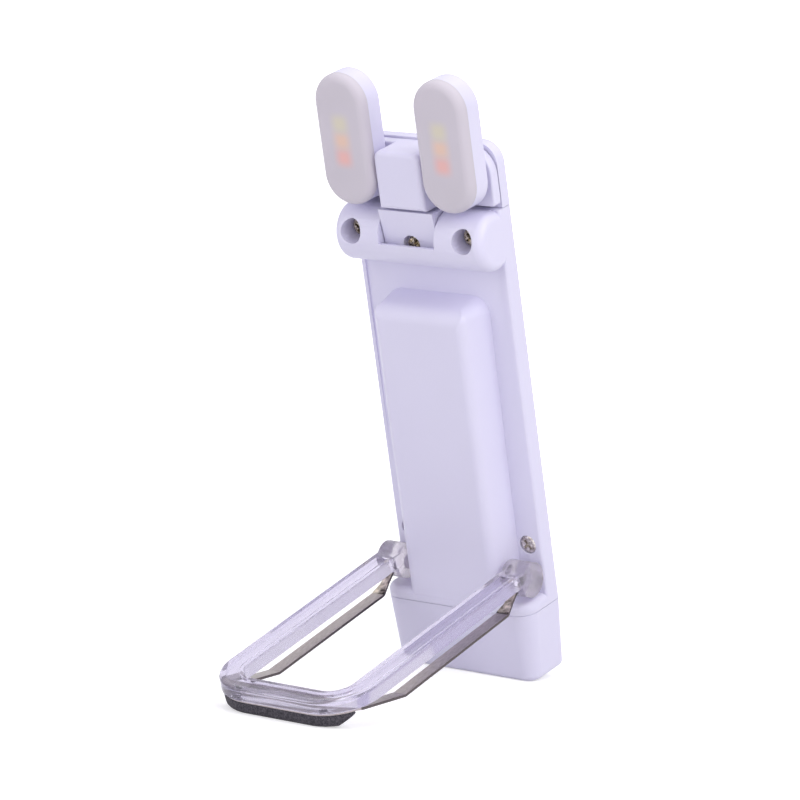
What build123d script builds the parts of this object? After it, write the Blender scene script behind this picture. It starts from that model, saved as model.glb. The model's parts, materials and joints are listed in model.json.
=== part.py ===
from build123d import *
from math import acos, atan2, cos, degrees, hypot, radians, sin, tan
import os

os.makedirs("parts", exist_ok=True)

# A clip-on book light: a slim moulded body with a battery block on its front, a tilting head with two
# swinging capsule lamps on top, and a clear U-shaped clip that folds up round the block.
# Millimetres. X runs across the body, Y from its front (minus) to its back, Z up the body.
# The body is drawn upright and leans forward at the end, the way it stands on its clip.

# Body
body_width = 33.0
body_depth = 4.0            # from the flat front face, at Y 0, to the back
body_height = 102.3
proud = 6.9                 # block and foot in front of the face
wall = 1.3
back_wall = 1.0
fit_gap = 0.1               # between fixed pieces that go together
snug = 0.02                 # radial, where one piece is pressed on another
front_edge_r = 0.5
back_edge_r = 1.0
back_corner_r = 4.0
top_edge_r = 0.9
rim_width = 1.0             # low rim along both sides of the face
rim_height = 0.5            # of the rim at the bar, where it is highest
rim_low_z = 38.0            # where the rim runs out
low_screw_edge = 3.0        # lower screws from the body's sides
low_screw_rise = 5.0        # lower screws above the clip's pivot

# Foot and end cap
cap_height = 13.7
cap_draft = 3.4             # degrees
cap_edge_r = 1.2
cap_wall = 1.0
cap_floor = 1.4
foot_height = 2.2           # shoulder of the front shell above the cap
foot_corner_r = 3.5
foot_edge_r = 1.3
lip_height = 0.8
lip_t = 0.8

# Battery block
block_arm_gap = 0.25        # between the block's foot and the clip's arms
block_tip_gap = 0.25        # between the block's top and the folded clip's tip
block_draft = 10.5          # degrees
block_corner_r = 3.2
block_edge_r = 2.0
block_brow_r = 3.2
block_wall = 1.4

# Hinge bar, the notch in it and its two screws
bar_r = 5.5
bar_proud = 7.0
bar_end_r = 1.7
notch_width = 12.5
notch_drop = 0.5            # lip's top below the pin's axis
lip_wall = 0.7
bar_hole_r = 2.25
bar_hole_edge = 4.1         # from the body's sides
bar_hole_rise = 1.3         # above the pin's axis
bar_hole_depth = 4.2

# Neck, its pin and its screw
neck_gap = 0.25             # each side of the neck in the notch
neck_swing_gap = 0.6        # round the neck's barrel
neck_face = 3.7             # flat front of the neck, from the pin's axis
neck_lean = 0.9             # how much further forward its top is
neck_back = 1.6
neck_top_gap = 0.45         # between the neck's shoulder and the hub
pin_r = 0.75
pin_wall = 0.8              # between the pin's ends and the screw holes
running_gap = 0.05
tongue_width = 6.2
tongue_height = 4.0
neck_hole_r = 1.85
neck_hole_depth = 1.6
neck_screw_drop = 0.7       # below the pin's axis
neck_screw_head_r = 1.5
neck_screw_grip = 0.8
washer_r = 2.3
washer_t = 0.45
washer_proud = 0.15

# Head: plate and hub
head_gap = 0.8              # above the bar
head_height = 10.9
head_drop = 0.4             # head's top below the back shell's
plate_inset = 0.1           # from the body's sides
plate_t = 1.9
plate_front = 0.95          # front of the plate in front of the body's face
plate_corner_r = 5.0
plate_edge_r = 0.4
plate_foot_r = 0.8
hub_proud = 6.9
hub_corner_r = 1.5
hub_edge_r = 1.0
seat_gap = 0.2              # between the plate and the back shell behind it

# Lamps
lamp_r = 5.6
lamp_length = 24.7
lamp_hub_gap = 0.3
lamp_overhang = 0.05        # past the body's sides
lamp_lift = 0.2             # lamp's lower end above the head's
lamp_back = 2.3             # back of the lamp in front of the face
housing_depth = 3.4
diffuser_depth = 1.8
diffuser_edge_r = 1.6
lamp_wall = 1.0
lamp_floor = 0.9
spigot_r = 1.6
boss_r = 3.2
boss_gap = 0.1
lamp_screw_head_r = 2.1
lamp_screw_head_t = 0.6
lamp_recess_r = 2.6
lamp_recess_depth = 0.95
led_board_t = 0.8
led_width = 2.8
led_height = 2.4
led_t = 0.7
led_pitch = 3.15

# Clip
clip_pivot_proud = 3.9      # pivot in front of the face
clip_drop = 3.2             # degrees below square to the body, when open
ear_face_gap = 0.6          # ear from the face
ear_foot_gap = 1.0          # ear from the shoulder
clip_overhang = 0.15        # beyond the body's sides
arm_width = 5.0
arm_t = 2.45
clip_reach = 57.5           # pivot to tip
tip_bar = 4.6
tip_corner_r = 9.3
inner_corner_r = 4.0
arm_edge_r = 0.5
groove_width = 2.4
groove_depth = 0.5
groove_start = 4.7          # in front of the pivot
trunnion_r = 1.5
trunnion_reach = 3.0
peg_r = 0.9
peg_inset = 7.2             # from the clip's sides
peg_length = 1.0

# Steel strip under the clip, and its pad
strip_width = 2.6
strip_t = 0.5
strip_inset = 1.2           # from the arm's outer side
strip_bend_y = 39.9         # pivot to the bend near the tip
strip_bend_drop = 4.0       # below the arms at that bend
strip_heel_y = 7.5          # pivot to the heel near the ear
strip_heel_drop = 3.9       # below the arms at the heel
strip_leg_y = 5.3           # pivot to the foot of the leg that goes up into the arm
strip_leg_drop = 3.0
strip_end_y = 3.0
strip_end_drop = 1.4
strip_end_rise = 1.0        # end of the leg in its slot
strip_leg_width = 1.5
plate_margin = 0.4          # from the tip's outline
pad_t = 2.35
pad_inset = 0.4             # from the tip's outline
pad_width = 30.4            # where it is glued on
pad_foot_width = 24.3       # at the table
pad_length = 4.0
pad_edge_r = 0.6

# Screws
bar_screw_head_r = 1.8
bar_screw_head_t = 1.1
bar_screw_r = 0.85
low_screw_head_r = 1.7
low_screw_head_t = 0.8
low_screw_sink = 0.15
low_screw_r = 0.7
screw_hole_gap = 0.1
recess_slot = 0.45          # cross recess in the screw heads
recess_span = 2.1
recess_depth = 0.6

# Inside
board_t = 0.6
board_gap = 0.05            # behind the face's inner side
board_side_gap = 0.8        # from the block's inner walls
board_floor_gap = 0.4       # above the cap's floor
board_head_gap = 2.0        # below the cell's top
cell_side_gap = 0.5
cell_t = 5.4
cell_tape_t = 1.05
cell_rise = 3.0             # above the clip's pivot
cell_top_gap = 5.4          # below the block's top
chip_t = 1.0
chip_width = 4.0
chip_height = 4.9
chip_x = 4.4
chip_rise = 4.8             # lowest chips above the socket
coil_r = 1.5
coil_rise = 2.6             # above the chips' middle
lead_r = 0.4
lead_x = 2.2
lead_drop = 2.6
tape_width = 10.0
tape_margin = 6.0
usb_width = 8.9
usb_t = 3.2
usb_length = 7.3
usb_wall = 0.3
usb_mouth_z = 0.4
usb_slot_gap = 0.2
button_length = 9.0
button_width = 4.4
button_drop = 17.215        # below the block's top
button_proud = 0.35
button_gap = 0.12
button_flange = 0.9
button_flange_t = 0.4
dome_r = 2.0
dome_t = 0.25
window_r = 0.8
window_drop = 0.8           # below the board's top

# Places that follow from the sizes
half = body_width / 2
tray_half = half - wall
back_inner = body_depth - back_wall
foot_top = cap_height + foot_height
low_screw_x = half - low_screw_edge
low_post = tray_half - low_screw_x

head_top = body_height - head_drop
head_low = head_top - head_height
bar_top = head_low - head_gap
bar_z = bar_top - bar_r
bar_y = bar_r - bar_proud
notch_z = bar_z - notch_drop
bar_hole_x = half - bar_hole_edge
bar_hole_z = bar_z + bar_hole_rise
pin_length = 2 * (bar_hole_x - bar_hole_r - pin_wall)

plate_width = body_width - 2 * plate_inset
lamp_x = half + lamp_overhang - lamp_r
hub_width = 2 * (lamp_x - lamp_r - lamp_hub_gap)
lamp_low = head_low + lamp_lift
lamp_pivot_z = lamp_low + lamp_r
lamp_mid_z = lamp_low + lamp_length / 2
lamp_front = lamp_back + housing_depth

clip_width = body_width + 2 * clip_overhang
clip_half = clip_width / 2
ear_x = clip_half - arm_width
ear_r = clip_pivot_proud - ear_face_gap
strip_x = clip_half - strip_inset - strip_width / 2
plate_y = clip_reach - tip_bar
peg_x = clip_half - peg_inset
pivot_y = -clip_pivot_proud
pivot_z = foot_top + ear_foot_gap + ear_r
low_screw_z = pivot_z + low_screw_rise

block_width = 2 * (ear_x - block_arm_gap)
block_slope = tan(radians(block_draft))
block_top_z = (pivot_z + plate_y - block_tip_gap
               + (clip_pivot_proud - arm_t + rim_height) * block_slope)
block_front_half = block_width / 2 - (proud + rim_height) * block_slope
well_half = block_front_half - block_wall
cell_low_z = pivot_z + cell_rise
button_z = block_top_z - button_drop
cell_top_z = block_top_z - cell_top_gap
cell_width = 2 * (well_half - cell_side_gap)
board_y = wall + board_gap
board_width = 2 * (well_half - board_side_gap)
board_low_z = cap_floor + board_floor_gap
board_top_z = cell_top_z - board_head_gap
window_z = board_top_z - window_drop


def upright(x):
    """Plane square to X at x, with its own x along Y and its own y along Z."""
    return Plane.YZ.offset(x)


def facing(y):
    """Plane square to Y at y, facing forward, with its own x along X and its own y along Z."""
    return Plane.XZ.offset(-y)


# Battery block: drafted sides, soft brow at its top
with BuildPart() as block_form:
    with BuildSketch(facing(rim_height)) as block_outline:
        with Locations((0, (cap_height + block_top_z) / 2)):
            Rectangle(block_width, block_top_z - cap_height)
        fillet(block_outline.vertices().group_by(Axis.Y)[-1], block_corner_r)
    extrude(amount=proud + rim_height, taper=block_draft)
    front_face = block_form.faces().sort_by(Axis.Y)[0]
    side_edges = front_face.edges().filter_by(GeomType.LINE).filter_by(Axis.X, reverse=True)
    front_top = front_face.vertices().sort_by(Axis.Z)[-1].Z
    fillet(side_edges, block_edge_r)
    slope = radians(block_draft)
    brow_z = front_top + block_brow_r * (block_slope - 1 / cos(slope))
    brow_low = (-proud, brow_z)
    brow_high = (block_brow_r * (1 - sin(slope)) - proud, brow_z + block_brow_r * cos(slope))
    with BuildSketch(upright(-half)):
        with BuildLine():
            RadiusArc(brow_low, brow_high, block_brow_r)
            Polyline(brow_high, (brow_high[0], block_top_z), (-proud - 1, block_top_z),
                     (-proud - 1, brow_z), brow_low)
        make_face()
    extrude(amount=body_width, mode=Mode.SUBTRACT)

# Foot: the shoulder across the body under the clip's ears
with BuildPart() as foot_form:
    with BuildSketch(Plane.XY.offset(cap_height)) as foot_outline:
        with Locations((0, (body_depth - proud) / 2)):
            Rectangle(body_width, body_depth + proud)
        fillet(foot_outline.vertices().group_by(Axis.Y)[0], foot_corner_r)
        fillet(foot_outline.vertices().group_by(Axis.Y)[-1], back_edge_r)
    extrude(amount=foot_height)
    fillet(foot_form.faces().sort_by(Axis.Z)[-1].edges().filter_by(
        lambda edge: edge.center().Y < body_depth / 2), foot_edge_r)

# Hinge bar with rounded ends
with BuildPart() as bar_form:
    with BuildSketch(upright(-half)):
        with Locations((bar_y, bar_z)):
            Circle(bar_r)
    extrude(amount=body_width)
    fillet(bar_form.edges().filter_by(GeomType.CIRCLE), bar_end_r)
    with BuildSketch(upright(bar_end_r - half)):
        with Locations(((bar_y + wall) / 2, bar_z)):
            Rectangle(wall - bar_y, 2 * bar_r)
    extrude(amount=body_width - 2 * bar_end_r)

# Front shell: face, block, foot and hinge bar in one moulding, open at the back
with BuildPart() as front_shell:
    with BuildSketch(facing(body_depth)):
        with Locations((0, (cap_height + bar_top) / 2)):
            Rectangle(body_width, bar_top - cap_height)
    extrude(amount=body_depth)
    upright_edges = front_shell.edges().filter_by(Axis.Z)
    fillet(upright_edges.group_by(Axis.Y)[0], front_edge_r)
    fillet(upright_edges.group_by(Axis.Y)[-1], back_edge_r)
    with BuildSketch(upright(rim_width - half)):
        with BuildLine():
            Polyline((0, rim_low_z), (rim_height, bar_z), (-wall, bar_z), (-wall, rim_low_z),
                     close=True)
        make_face()
    extrude(amount=body_width - 2 * rim_width, mode=Mode.SUBTRACT)
    add(block_form.part)
    add(foot_form.part)
    add(bar_form.part)
    # the tray behind the face, the well in the block and the room in the foot
    with BuildSketch(facing(wall)):
        with Locations((0, (cap_height + bar_top - wall) / 2)):
            Rectangle(2 * tray_half, bar_top - wall - cap_height)
    extrude(amount=-body_depth, mode=Mode.SUBTRACT)
    with BuildSketch(facing(back_inner - fit_gap)):
        with Locations((0, (cap_height + bar_top) / 2)):
            Rectangle(2 * tray_half, bar_top - cap_height + 2)
    extrude(amount=-body_depth, mode=Mode.SUBTRACT)
    with BuildSketch(facing(wall)):
        with Locations((0, (cap_height + block_top_z - block_brow_r) / 2)):
            Rectangle(2 * well_half, block_top_z - block_brow_r - cap_height)
    extrude(amount=proud + wall - block_wall, mode=Mode.SUBTRACT)
    with BuildSketch(Plane.XY.offset(cap_height)) as foot_room:
        with Locations((0, (body_depth - proud + block_wall) / 2)):
            Rectangle(2 * tray_half, body_depth + proud - block_wall)
        fillet(foot_room.vertices().group_by(Axis.Y)[0], foot_corner_r - wall)
    extrude(amount=foot_height - wall, mode=Mode.SUBTRACT)
    # posts under the heads of the lower screws
    with BuildSketch(facing(wall)):
        with Locations((low_screw_x, low_screw_z), (-low_screw_x, low_screw_z)):
            Circle(low_post)
    extrude(amount=-low_screw_head_t)
    # the notch for the neck, and the cradle of the hinge pin, open towards the back
    with BuildSketch(upright(-notch_width / 2)):
        with Locations((bar_y, bar_z)):
            Circle(bar_r - lip_wall)
        with Locations(((back_inner - 2 * bar_r) / 2, notch_z + bar_r)):
            Rectangle(back_inner + 2 * bar_r, 2 * bar_r)
    extrude(amount=notch_width, mode=Mode.SUBTRACT)
    with BuildSketch(upright(-pin_length / 2 - fit_gap)):
        with Locations((bar_y, bar_z)):
            Circle(pin_r + running_gap)
        with Locations(((bar_y + wall + 1) / 2, bar_z)):
            Rectangle(wall + 1 - bar_y, 2 * (pin_r + running_gap))
    extrude(amount=pin_length + 2 * fit_gap, mode=Mode.SUBTRACT)
    # screw holes: deep in the bar, nearly flush beside the clip
    with Locations(*[Location((x, -bar_proud, bar_hole_z), (90, 0, 0))
                     for x in (-bar_hole_x, bar_hole_x)]):
        CounterBoreHole(bar_screw_r + screw_hole_gap, bar_hole_r, bar_hole_depth, 2 * bar_proud)
    with Locations(*[Location((x, 0, low_screw_z), (90, 0, 0)) for x in (-low_screw_x, low_screw_x)]):
        CounterBoreHole(low_screw_r + screw_hole_gap, low_screw_head_r + screw_hole_gap,
                        low_screw_head_t + low_screw_sink, 2 * body_depth)
    # bores for the clip's trunnions, through the block's side walls
    with BuildSketch(upright(-half)):
        with Locations((pivot_y, pivot_z)):
            Circle(trunnion_r + running_gap)
    extrude(amount=body_width, mode=Mode.SUBTRACT)
front_shell.part.label = "front_shell"

# Back shell: a cover let into the front shell, full width and deeper behind the head
with BuildPart() as back_shell:
    cover_low = cap_height + fit_gap
    cover_top = bar_top + fit_gap
    with BuildSketch(facing(body_depth)):
        with Locations((0, (cover_low + cover_top) / 2)):
            Rectangle(2 * (tray_half - fit_gap), cover_top - cover_low)
    extrude(amount=back_wall)
    with BuildSketch(facing(body_depth)) as back_top_outline:
        with Locations((0, (cover_top + body_height) / 2)):
            Rectangle(body_width, body_height - cover_top)
        fillet(back_top_outline.vertices().group_by(Axis.Y)[-1], back_corner_r)
    extrude(amount=body_depth - plate_t + plate_front - seat_gap)
    fillet(back_shell.edges().filter_by(
        lambda edge: edge.center().Z > cover_top + 1 and edge.center().Y > body_depth - 0.01), top_edge_r)
    # bosses that take the screws
    with BuildSketch(facing(back_inner)):
        with Locations((-bar_hole_x, bar_hole_z), (bar_hole_x, bar_hole_z)):
            Circle(tray_half - bar_hole_x - 2 * fit_gap)
    extrude(amount=back_inner - wall - fit_gap)
    with BuildSketch(facing(back_inner)):
        with Locations((-low_screw_x, low_screw_z), (low_screw_x, low_screw_z)):
            Circle(low_post - 2 * fit_gap)
    extrude(amount=back_inner - wall - low_screw_head_t - fit_gap)
    for x, z, r in ((bar_hole_x, bar_hole_z, bar_screw_r), (low_screw_x, low_screw_z, low_screw_r)):
        with BuildSketch(facing(wall)):
            with Locations((-x, z), (x, z)):
                Circle(r)
        extrude(amount=-(back_inner - wall + back_wall / 2), mode=Mode.SUBTRACT)
    # openings for the power button and the charge light
    with BuildSketch(facing(body_depth)):
        with Locations((0, button_z)):
            SlotOverall(button_length + 2 * button_gap, button_width + 2 * button_gap)
        with Locations((0, window_z)):
            Circle(window_r)
    extrude(amount=back_wall, mode=Mode.SUBTRACT)
back_shell.part.label = "back_shell"

# End cap: the drafted box that closes the body below the seam and lets the charging socket out
with BuildPart() as end_cap:
    with BuildSketch(Plane.XY.offset(cap_height - fit_gap)) as cap_outline:
        with Locations((0, (body_depth - proud) / 2)):
            Rectangle(body_width, body_depth + proud)
        fillet(cap_outline.vertices().group_by(Axis.Y)[0], foot_corner_r)
        fillet(cap_outline.vertices().group_by(Axis.Y)[-1], back_edge_r)
    extrude(amount=-(cap_height - fit_gap), taper=cap_draft)
    fillet(end_cap.faces().sort_by(Axis.Z)[0].edges(), cap_edge_r)
    shrink = (cap_height - fit_gap) * tan(radians(cap_draft))
    with BuildSketch(Plane.XY.offset(cap_floor)) as cap_hollow:
        with Locations((0, (body_depth - proud) / 2)):
            Rectangle(body_width - 2 * (shrink + cap_wall), body_depth + proud - 2 * (shrink + cap_wall))
        fillet(cap_hollow.vertices(), back_edge_r)
    extrude(amount=cap_height, mode=Mode.SUBTRACT)
    lip_half = tray_half - fit_gap
    lip_front = block_wall + fit_gap - proud
    lip_back = back_inner - fit_gap
    with BuildSketch(Plane.XY.offset(cap_height - fit_gap - lip_height)) as lip:
        with Locations((0, (lip_front + lip_back) / 2)):
            Rectangle(2 * lip_half, lip_back - lip_front)
        fillet(lip.vertices().group_by(Axis.Y)[0], foot_corner_r - wall)
        with Locations((0, (lip_front + lip_back) / 2)):
            Rectangle(2 * (lip_half - lip_t), lip_back - lip_front - 2 * lip_t, mode=Mode.SUBTRACT)
    extrude(amount=2 * lip_height)
    with BuildSketch(Plane.XY):
        with Locations((0, board_y - usb_t / 2)):
            RectangleRounded(usb_width + 2 * usb_slot_gap, usb_t + 2 * usb_slot_gap, usb_t / 2)
    extrude(amount=cap_floor, mode=Mode.SUBTRACT)
end_cap.part.label = "end_cap"


def cross_recess():
    """Sketch of the cross in a screw head."""
    Rectangle(recess_span, recess_slot)
    Rectangle(recess_slot, recess_span)


# Screws through the bar into the back shell
with BuildPart() as bar_screws:
    bar_screw_points = ((-bar_hole_x, bar_hole_z), (bar_hole_x, bar_hole_z))
    bar_seat = bar_hole_depth - bar_proud
    with BuildSketch(facing(bar_seat)):
        with Locations(*bar_screw_points):
            Circle(bar_screw_head_r)
    extrude(amount=bar_screw_head_t)
    fillet(bar_screws.edges().group_by(Axis.Y)[0], bar_screw_head_t / 3)
    with BuildSketch(facing(bar_seat)):
        with Locations(*bar_screw_points):
            Circle(bar_screw_r)
    extrude(amount=-(back_inner - bar_seat))
    with BuildSketch(facing(bar_seat - bar_screw_head_t)):
        with Locations(*bar_screw_points):
            cross_recess()
    extrude(amount=-recess_depth, mode=Mode.SUBTRACT)
bar_screws.part.label = "bar_screws"

# Screws beside the clip's ears
with BuildPart() as shell_screws:
    low_points = ((-low_screw_x, low_screw_z), (low_screw_x, low_screw_z))
    low_seat = low_screw_sink + low_screw_head_t
    with BuildSketch(facing(low_seat)):
        with Locations(*low_points):
            Circle(low_screw_head_r)
    extrude(amount=low_screw_head_t)
    fillet(shell_screws.edges().group_by(Axis.Y)[0], low_screw_head_t / 3)
    with BuildSketch(facing(low_seat)):
        with Locations(*low_points):
            Circle(low_screw_r)
    extrude(amount=-(back_inner - low_seat))
    with BuildSketch(facing(low_screw_sink)):
        with Locations(*low_points):
            cross_recess()
    extrude(amount=-recess_depth, mode=Mode.SUBTRACT)
shell_screws.part.label = "shell_screws"

# Circuit board, upright behind the battery and down into the cap
with BuildPart() as circuit_board:
    with BuildSketch(facing(board_y)):
        with Locations((0, (board_low_z + board_top_z) / 2)):
            Rectangle(board_width, board_top_z - board_low_z)
    extrude(amount=-board_t)
    fillet(circuit_board.edges().filter_by(Axis.Y), back_edge_r)
circuit_board.part.label = "circuit_board"

# Chips and coil on the board, below the battery
with BuildPart() as board_chips:
    chip_z = usb_mouth_z + usb_length + chip_rise
    with BuildSketch(facing(board_y)):
        with Locations((-chip_x, chip_z), (chip_x, chip_z)):
            Rectangle(chip_width, chip_height)
        with Locations((0, chip_z - chip_height / 4)):
            Rectangle(chip_width / 2, chip_height / 4)
        with Locations((0, chip_z + coil_rise)):
            Circle(coil_r)
    extrude(amount=chip_t)
board_chips.part.label = "board_chips"

# Charging socket on the board's lower end
with BuildPart() as usb_socket:
    usb_mid_y = board_y - usb_t / 2
    with BuildSketch(Plane.XY.offset(usb_mouth_z)):
        with Locations((0, usb_mid_y)):
            RectangleRounded(usb_width, usb_t, usb_t / 2 - 0.01)
    extrude(amount=usb_length)
    with BuildSketch(Plane.XY.offset(usb_mouth_z)):
        with Locations((0, usb_mid_y)):
            RectangleRounded(usb_width - 2 * usb_wall, usb_t - 2 * usb_wall, usb_t / 2 - usb_wall - 0.01)
            RectangleRounded(usb_width - 8 * usb_wall, usb_t / 4, usb_wall, mode=Mode.SUBTRACT)
    extrude(amount=usb_length - 2 * usb_wall, mode=Mode.SUBTRACT)
usb_socket.part.label = "usb_socket"

# Battery cell in the block, its foam tape and its leads
cell_back = board_y - cell_tape_t
with BuildPart() as battery_cell:
    with BuildSketch(facing(cell_back)):
        with Locations((0, (cell_low_z + cell_top_z) / 2)):
            Rectangle(cell_width, cell_top_z - cell_low_z)
    extrude(amount=cell_t)
    fillet(battery_cell.edges().filter_by(Axis.Z), cell_t / 4)
battery_cell.part.label = "battery_cell"

with BuildPart() as battery_tape:
    with BuildSketch(facing(board_y)):
        with Locations((0, (cell_low_z + board_top_z) / 2)):
            Rectangle(tape_width, board_top_z - cell_low_z - 2 * tape_margin)
    extrude(amount=board_y - cell_back)
battery_tape.part.label = "battery_tape"

with BuildPart() as battery_leads:
    lead_y = cell_back - cell_t / 2
    for x in (-lead_x, lead_x):
        with BuildLine() as lead_path:
            FilletPolyline((x, lead_y, cell_low_z), (x, lead_y, cell_low_z - lead_drop),
                           (x, board_y, cell_low_z - lead_drop), radius=2 * lead_r)
        with BuildSketch(Plane.XY.offset(cell_low_z)):
            with Locations((x, lead_y)):
                Circle(lead_r)
        sweep(path=lead_path.wire())
battery_leads.part.label = "battery_leads"

# Power button in the back shell, with the click dome under it
with BuildPart() as power_button:
    flange_back = back_inner - 0.05
    with BuildSketch(facing(flange_back)):
        with Locations((0, button_z)):
            SlotOverall(button_length + button_flange, button_width + button_flange)
    extrude(amount=button_flange_t)
    with BuildSketch(facing(body_depth + button_proud)):
        with Locations((0, button_z)):
            SlotOverall(button_length, button_width)
    extrude(amount=body_depth + button_proud - flange_back)
    fillet(power_button.edges().group_by(Axis.Y)[-1], button_proud * 0.8)
power_button.part.label = "power_button"

with BuildPart() as click_dome:
    with BuildSketch(facing(board_y + board_t)):
        with Locations((0, button_z)):
            Circle(dome_r)
    extrude(amount=-dome_t)
click_dome.part.label = "click_dome"

with BuildPart() as charge_light:
    with BuildSketch(facing(body_depth)):
        with Locations((0, window_z)):
            Circle(window_r)
    extrude(amount=back_wall)
    with BuildSketch(facing(back_inner)):
        with Locations((0, window_z)):
            Circle(1.5 * window_r)
    extrude(amount=back_wall / 2)
charge_light.part.label = "charge_light"

# Hinge pin across the bar, and the neck that turns on it
with BuildPart() as hinge_pin:
    with BuildSketch(upright(-pin_length / 2)):
        with Locations((bar_y, bar_z)):
            Circle(pin_r)
    extrude(amount=pin_length)
hinge_pin.part.label = "hinge_pin"

neck_half = notch_width / 2 - neck_gap
neck_r = bar_r - lip_wall - neck_swing_gap
neck_top = head_low - neck_top_gap
neck_front = bar_y - neck_face
with BuildPart() as neck:
    with BuildSketch(upright(-neck_half)):
        with Locations((bar_y, bar_z)):
            Circle(neck_r)
        with BuildLine():
            Polyline((neck_front, bar_z), (neck_front - neck_lean, neck_top), (bar_y + neck_back, neck_top),
                     (bar_y + neck_back, bar_z), close=True)
        make_face()
        with Locations((neck_front - neck_r, bar_z - neck_r)):
            Rectangle(2 * neck_r, 2 * neck_r, mode=Mode.SUBTRACT)
        with BuildLine():
            Polyline((neck_front, bar_z), (neck_front - neck_lean, neck_top), (neck_front - neck_r, neck_top),
                     (neck_front - neck_r, bar_z), close=True)
        make_face(mode=Mode.SUBTRACT)
    extrude(amount=2 * neck_half)
    with BuildSketch(Plane.XY.offset(neck_top)):
        with Locations((0, bar_y + (neck_back - neck_face) / 2)):
            Rectangle(tongue_width, neck_back)
    extrude(amount=tongue_height)
    with BuildSketch(upright(-neck_half)):
        with Locations((bar_y, bar_z)):
            Circle(pin_r + snug)
    extrude(amount=2 * neck_half, mode=Mode.SUBTRACT)
    for side in (-1, 1):
        with BuildSketch(upright(side * neck_half)):
            with Locations((bar_y, bar_z)):
                Circle(washer_r + fit_gap)
        extrude(amount=-side * (washer_t - washer_proud), mode=Mode.SUBTRACT)
    neck_screw_z = bar_z - neck_screw_drop
    with Locations(Location((0, neck_front, neck_screw_z), (90, 0, 0))):
        CounterBoreHole(low_screw_r + snug, neck_hole_r, neck_hole_depth,
                        neck_hole_depth + neck_screw_grip + fit_gap)
neck.part.label = "neck"

with BuildPart() as neck_screw:
    neck_seat = neck_front + neck_hole_depth
    with BuildSketch(facing(neck_seat)):
        with Locations((0, neck_screw_z)):
            Circle(neck_screw_head_r)
    extrude(amount=low_screw_head_t)
    fillet(neck_screw.edges().group_by(Axis.Y)[0], low_screw_head_t / 3)
    with BuildSketch(facing(neck_seat)):
        with Locations((0, neck_screw_z)):
            Circle(low_screw_r)
    extrude(amount=-neck_screw_grip)
    with BuildSketch(facing(neck_seat - low_screw_head_t)):
        with Locations((0, neck_screw_z)):
            cross_recess()
    extrude(amount=-recess_depth, mode=Mode.SUBTRACT)
neck_screw.part.label = "neck_screw"

with BuildPart() as friction_washers:
    for side in (-1, 1):
        with BuildSketch(upright(side * (neck_half + washer_proud))):
            with Locations((bar_y, bar_z)):
                Circle(washer_r)
                Circle(pin_r + snug, mode=Mode.SUBTRACT)
        extrude(amount=-side * washer_t)
friction_washers.part.label = "friction_washers"

# Head carrier: the hub block and the plate behind the lamps, one moulding
with BuildPart() as head_carrier:
    with BuildSketch(facing(-plate_front + plate_t)) as plate_outline:
        with Locations((0, (head_low + head_top) / 2)):
            Rectangle(plate_width, head_height)
        fillet(plate_outline.vertices().group_by(Axis.Y)[-1], plate_corner_r)
        fillet(plate_outline.vertices().group_by(Axis.Y)[0], plate_foot_r)
    extrude(amount=plate_t)
    fillet(head_carrier.faces().sort_by(Axis.Y)[0].edges(), plate_edge_r)
    with BuildSketch(facing(0)) as hub_outline:
        with Locations((0, (head_low + head_top) / 2)):
            Rectangle(hub_width, head_height)
        fillet(hub_outline.vertices().group_by(Axis.Y)[-1], hub_corner_r)
    extrude(amount=hub_proud)
    fillet(head_carrier.faces().sort_by(Axis.Y)[0].edges(), hub_edge_r)
    with BuildSketch(Plane.XY.offset(head_low)):
        with Locations((0, bar_y + (neck_back - neck_face) / 2)):
            Rectangle(tongue_width + 2 * fit_gap, neck_back + 2 * fit_gap)
    extrude(amount=tongue_height, mode=Mode.SUBTRACT)
    lamp_points = ((-lamp_x, lamp_pivot_z), (lamp_x, lamp_pivot_z))
    with BuildSketch(facing(plate_t)):
        with Locations(*lamp_points):
            Circle(spigot_r + running_gap)
    extrude(amount=2 * plate_t, mode=Mode.SUBTRACT)
    with BuildSketch(facing(plate_t - plate_front)):
        with Locations(*lamp_points):
            Circle(lamp_recess_r)
    extrude(amount=lamp_recess_depth, mode=Mode.SUBTRACT)
head_carrier.part.label = "head_carrier"

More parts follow.
